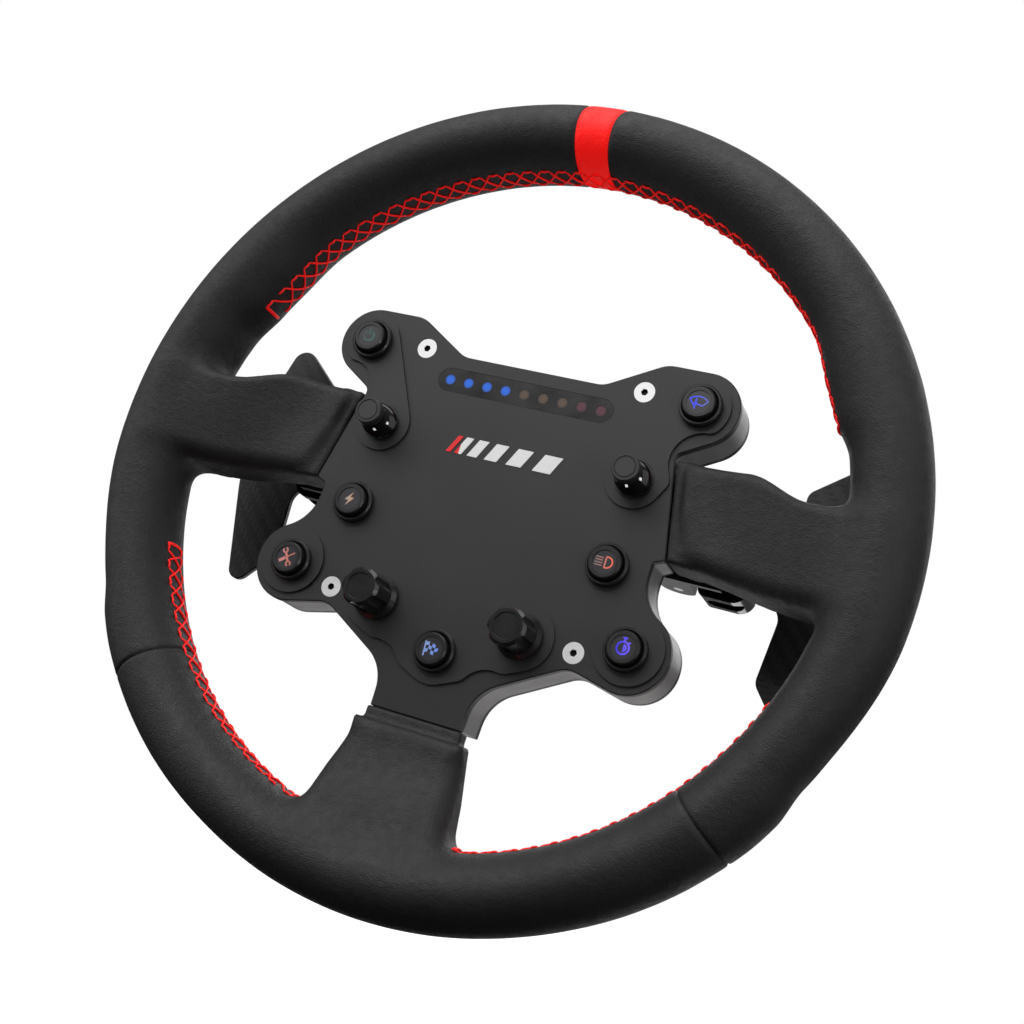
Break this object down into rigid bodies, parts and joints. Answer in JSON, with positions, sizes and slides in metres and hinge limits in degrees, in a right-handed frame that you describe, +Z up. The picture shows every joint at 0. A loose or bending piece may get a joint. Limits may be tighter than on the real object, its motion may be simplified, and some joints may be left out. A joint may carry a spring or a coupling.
{
  "type": "racing simulator steering wheel",
  "caption": "Round racing simulator wheel with a leather rim on three spokes, a button box with push buttons, thumb joysticks, rotary knobs and rev lights, and two gear paddles behind.",
  "frame": {"origin": "centre of the hub's rear mounting face, on the wheel's axis", "axes": "+Z up with the wheel straight ahead, +Y away from the driver along the steering axis, +X to the driver's right"},
  "size_m": [0.33, 0.0762, 0.33],
  "materials": {
    "black_steel": "black oxide",
    "button_black": "satin black",
    "cap_rubber": "soft-touch charcoal",
    "carbon_fibre": "satin twill carbon laminate",
    "circuit_board": "solder-masked glass-fibre laminate",
    "contact": "gold-plated contacts in a black body",
    "cover_coating": "matt charcoal coating",
    "frame_alloy": "as-cast aluminium",
    "gasket": "matt black seal",
    "gloss_black": "high-gloss black",
    "housing_plastic": "fine-textured grey moulded plastic",
    "hub_alloy": "black anodised",
    "knob_black": "semi-gloss black",
    "lamp": "lit coloured lamps",
    "leather_black": "fine-grained black leather, red cross-stitching",
    "leather_red": "red leather",
    "legend_lens": "translucent smoked lens with a lit symbol",
    "magnet": "nickel-plated magnet",
    "motif_ink": "printed bars",
    "plate_coating": "fine matt bead-blasted charcoal coating on aluminium plate",
    "rim_foam": "moulded foam under the leather",
    "smoked_window": "smoked acrylic",
    "steel": "bright zinc-plated",
    "switch_plastic": "black moulding"
  },
  "bodies": {
    "root": {"bracket_magnets": "magnet", "button_bezels": "button_black", "button_housing": "housing_plastic", "button_switches": "switch_plastic", "centre_motif": "motif_ink", "centre_stripe": "leather_red", "encoder_bodies": "switch_plastic", "encoder_nuts": "steel", "face_plate": "plate_coating", "face_screws": "steel", "frame": "frame_alloy", "hub_bolts": "black_steel", "hub_connector": "contact", "hub_spacer": "hub_alloy", "joystick_bases": "gloss_black", "leather_left": "leather_black", "leather_lower": "leather_black", "leather_right": "leather_black", "light_window": "smoked_window", "main_board": "circuit_board", "paddle_brackets": "gloss_black", "paddle_pins": "steel", "paddle_switches": "switch_plastic", "plate_gasket": "gasket", "rear_cover": "cover_coating", "rear_screws": "black_steel", "rev_lights": "lamp", "rim_foam": "rim_foam"},
    "start_button": {"start_button_cap": "button_black", "start_button_lens": "legend_lens"},
    "wiper_button": {"wiper_button_cap": "button_black", "wiper_button_lens": "legend_lens"},
    "ignition_button": {"ignition_button_cap": "button_black", "ignition_button_lens": "legend_lens"},
    "headlight_button": {"headlight_button_cap": "button_black", "headlight_button_lens": "legend_lens"},
    "tools_button": {"tools_button_cap": "button_black", "tools_button_lens": "legend_lens"},
    "timer_button": {"timer_button_cap": "button_black", "timer_button_lens": "legend_lens"},
    "flag_button": {"flag_button_cap": "button_black", "flag_button_lens": "legend_lens"},
    "joystick_yoke_left": {"joystick_yoke_left": "steel"},
    "joystick_stick_left": {"joystick_stick_left": "gloss_black"},
    "joystick_cap_left": {"joystick_cap_left": "cap_rubber"},
    "rotary_knob_left": {"knob_shaft_left": "steel", "rotary_knob_left": "knob_black"},
    "paddle_left": {"paddle_lever_left": "gloss_black", "paddle_blade_left": "carbon_fibre", "lever_magnet_left": "magnet", "blade_screws_left": "black_steel"},
    "joystick_yoke_right": {"joystick_yoke_right": "steel"},
    "joystick_stick_right": {"joystick_stick_right": "gloss_black"},
    "joystick_cap_right": {"joystick_cap_right": "cap_rubber"},
    "rotary_knob_right": {"knob_shaft_right": "steel", "rotary_knob_right": "knob_black"},
    "paddle_right": {"paddle_lever_right": "gloss_black", "paddle_blade_right": "carbon_fibre", "lever_magnet_right": "magnet", "blade_screws_right": "black_steel"}
  },
  "joints": [
    {"name": "start_button_press", "type": "slide", "parent": "root", "child": "start_button", "axis": [0, 1, 0], "range_m": [0, 0.0012], "stiffness_N_per_m": 900, "springref_m": -0.001},
    {"name": "wiper_button_press", "type": "slide", "parent": "root", "child": "wiper_button", "axis": [0, 1, 0], "range_m": [0, 0.0012], "stiffness_N_per_m": 900, "springref_m": -0.001},
    {"name": "ignition_button_press", "type": "slide", "parent": "root", "child": "ignition_button", "axis": [0, 1, 0], "range_m": [0, 0.0012], "stiffness_N_per_m": 900, "springref_m": -0.001},
    {"name": "headlight_button_press", "type": "slide", "parent": "root", "child": "headlight_button", "axis": [0, 1, 0], "range_m": [0, 0.0012], "stiffness_N_per_m": 900, "springref_m": -0.001},
    {"name": "tools_button_press", "type": "slide", "parent": "root", "child": "tools_button", "axis": [0, 1, 0], "range_m": [0, 0.0012], "stiffness_N_per_m": 900, "springref_m": -0.001},
    {"name": "timer_button_press", "type": "slide", "parent": "root", "child": "timer_button", "axis": [0, 1, 0], "range_m": [0, 0.0012], "stiffness_N_per_m": 900, "springref_m": -0.001},
    {"name": "flag_button_press", "type": "slide", "parent": "root", "child": "flag_button", "axis": [0, 1, 0], "range_m": [0, 0.0012], "stiffness_N_per_m": 900, "springref_m": -0.001},
    {"name": "joystick_left_up_down", "type": "hinge", "parent": "root", "child": "joystick_yoke_left", "pos_m": [-0.0541, -0.054, 0.0176], "axis": [1, 0, 0], "range_deg": [-7, 7], "stiffness_Nm_per_rad": 0.3},
    {"name": "joystick_left_left_right", "type": "hinge", "parent": "joystick_yoke_left", "child": "joystick_stick_left", "pos_m": [-0.0541, -0.054, 0.0176], "axis": [0, 0, 1], "range_deg": [-7, 7], "stiffness_Nm_per_rad": 0.3},
    {"name": "joystick_left_press", "type": "slide", "parent": "joystick_stick_left", "child": "joystick_cap_left", "axis": [0, 1, 0], "range_m": [0, 0.0008], "stiffness_N_per_m": 900, "springref_m": -0.001},
    {"name": "knob_left_turn", "type": "hinge", "parent": "root", "child": "rotary_knob_left", "pos_m": [-0.0305, -0.056, -0.0504], "axis": [0, -1, 0], "continuous": true},
    {"name": "paddle_left_pull", "type": "hinge", "parent": "root", "child": "paddle_left", "pos_m": [-0.072, -0.02, 0.008], "axis": [0, 0, 1], "range_deg": [0, 4], "stiffness_Nm_per_rad": 5, "springref_deg": -3.44},
    {"name": "joystick_right_up_down", "type": "hinge", "parent": "root", "child": "joystick_yoke_right", "pos_m": [0.0541, -0.054, 0.0176], "axis": [1, 0, 0], "range_deg": [-7, 7], "stiffness_Nm_per_rad": 0.3},
    {"name": "joystick_right_left_right", "type": "hinge", "parent": "joystick_yoke_right", "child": "joystick_stick_right", "pos_m": [0.0541, -0.054, 0.0176], "axis": [0, 0, 1], "range_deg": [-7, 7], "stiffness_Nm_per_rad": 0.3},
    {"name": "joystick_right_press", "type": "slide", "parent": "joystick_stick_right", "child": "joystick_cap_right", "axis": [0, 1, 0], "range_m": [0, 0.0008], "stiffness_N_per_m": 900, "springref_m": -0.001},
    {"name": "knob_right_turn", "type": "hinge", "parent": "root", "child": "rotary_knob_right", "pos_m": [0.0305, -0.056, -0.0504], "axis": [0, -1, 0], "continuous": true},
    {"name": "paddle_right_pull", "type": "hinge", "parent": "root", "child": "paddle_right", "pos_m": [0.072, -0.02, 0.008], "axis": [0, 0, -1], "range_deg": [0, 4], "stiffness_Nm_per_rad": 5, "springref_deg": -3.44}
  ]
}
